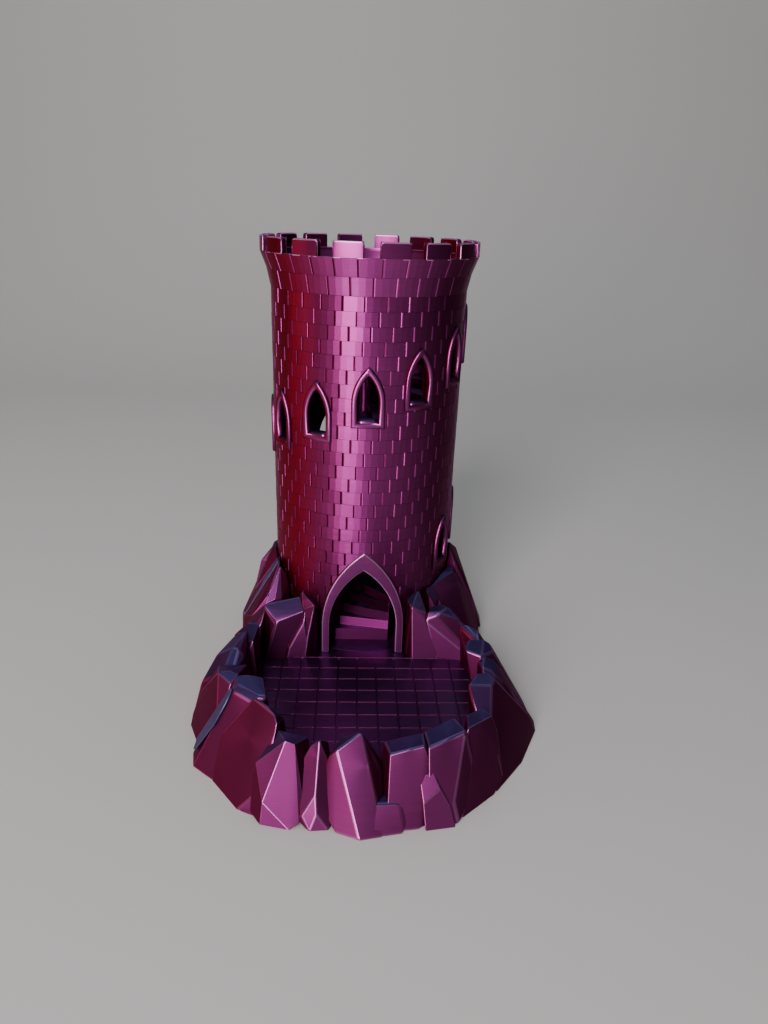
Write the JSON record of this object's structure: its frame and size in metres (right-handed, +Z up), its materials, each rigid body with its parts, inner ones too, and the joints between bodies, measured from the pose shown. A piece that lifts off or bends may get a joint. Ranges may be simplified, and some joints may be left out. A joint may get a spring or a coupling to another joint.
{
  "type": "dice tower",
  "caption": "Castle dice tower: a round brick tower with a spiral stair, lancet windows and a pointed door, lifting out of a rock base with a tiled dice tray.",
  "frame": {"origin": "on the tower's axis, at the height of the surface that the base stands on", "axes": "+Z up along the tower's axis; -Y is the front, out of the door along the tray; +X to the right seen from the front"},
  "size_m": [0.1535, 0.227, 0.2],
  "materials": {
    "tower_silk": "two-colour silk print, crimson to purple, fine horizontal layers",
    "trim_silk": "two-colour silk print, smooth",
    "stair_silk": "two-colour silk print, purple on the treads",
    "rock_silk": "two-colour silk print, slate-purple on slopes that face up",
    "floor_silk": "two-colour silk print, dark purple top surface"
  },
  "bodies": {
    "base": {"foot_boulder_back": "rock_silk", "foot_boulder_door_left": "rock_silk", "foot_boulder_door_right": "rock_silk", "foot_boulder_left": "rock_silk", "foot_boulder_left_front": "rock_silk", "foot_boulder_nook_left": "rock_silk", "foot_boulder_nook_right": "rock_silk", "foot_boulder_rear": "rock_silk", "foot_boulder_rear_left": "rock_silk", "foot_boulder_rear_right": "rock_silk", "foot_boulder_right": "rock_silk", "foot_boulder_right_front": "rock_silk", "foot_slab": "rock_silk", "tray_boulder_corner_left": "rock_silk", "tray_boulder_corner_right": "rock_silk", "tray_boulder_front": "rock_silk", "tray_boulder_front_left": "rock_silk", "tray_boulder_front_right": "rock_silk", "tray_boulder_left": "rock_silk", "tray_boulder_left_mid": "rock_silk", "tray_boulder_left_rear": "rock_silk", "tray_boulder_right": "rock_silk", "tray_boulder_right_front": "rock_silk", "tray_boulder_right_mid": "rock_silk", "tray_boulder_right_rear": "rock_silk", "tray_boulder_right_side": "rock_silk", "tray_boulder_sliver": "rock_silk", "tray_floor": "floor_silk"},
    "tower": {"door_arch": "trim_silk", "entry_steps": "stair_silk", "partition_wall": "stair_silk", "stair_flight_1": "stair_silk", "stair_flight_2": "stair_silk", "stair_flight_3": "stair_silk", "stair_flight_4": "stair_silk", "stair_newel": "stair_silk", "tower_crown": "tower_silk", "tower_floor": "stair_silk", "tower_shell": "tower_silk", "window_frames": "trim_silk"}
  },
  "joints": [
    {"name": "tower_lift", "type": "slide", "parent": "base", "child": "tower", "axis": [0, 0, 1], "range_m": [0, 0.06]}
  ]
}
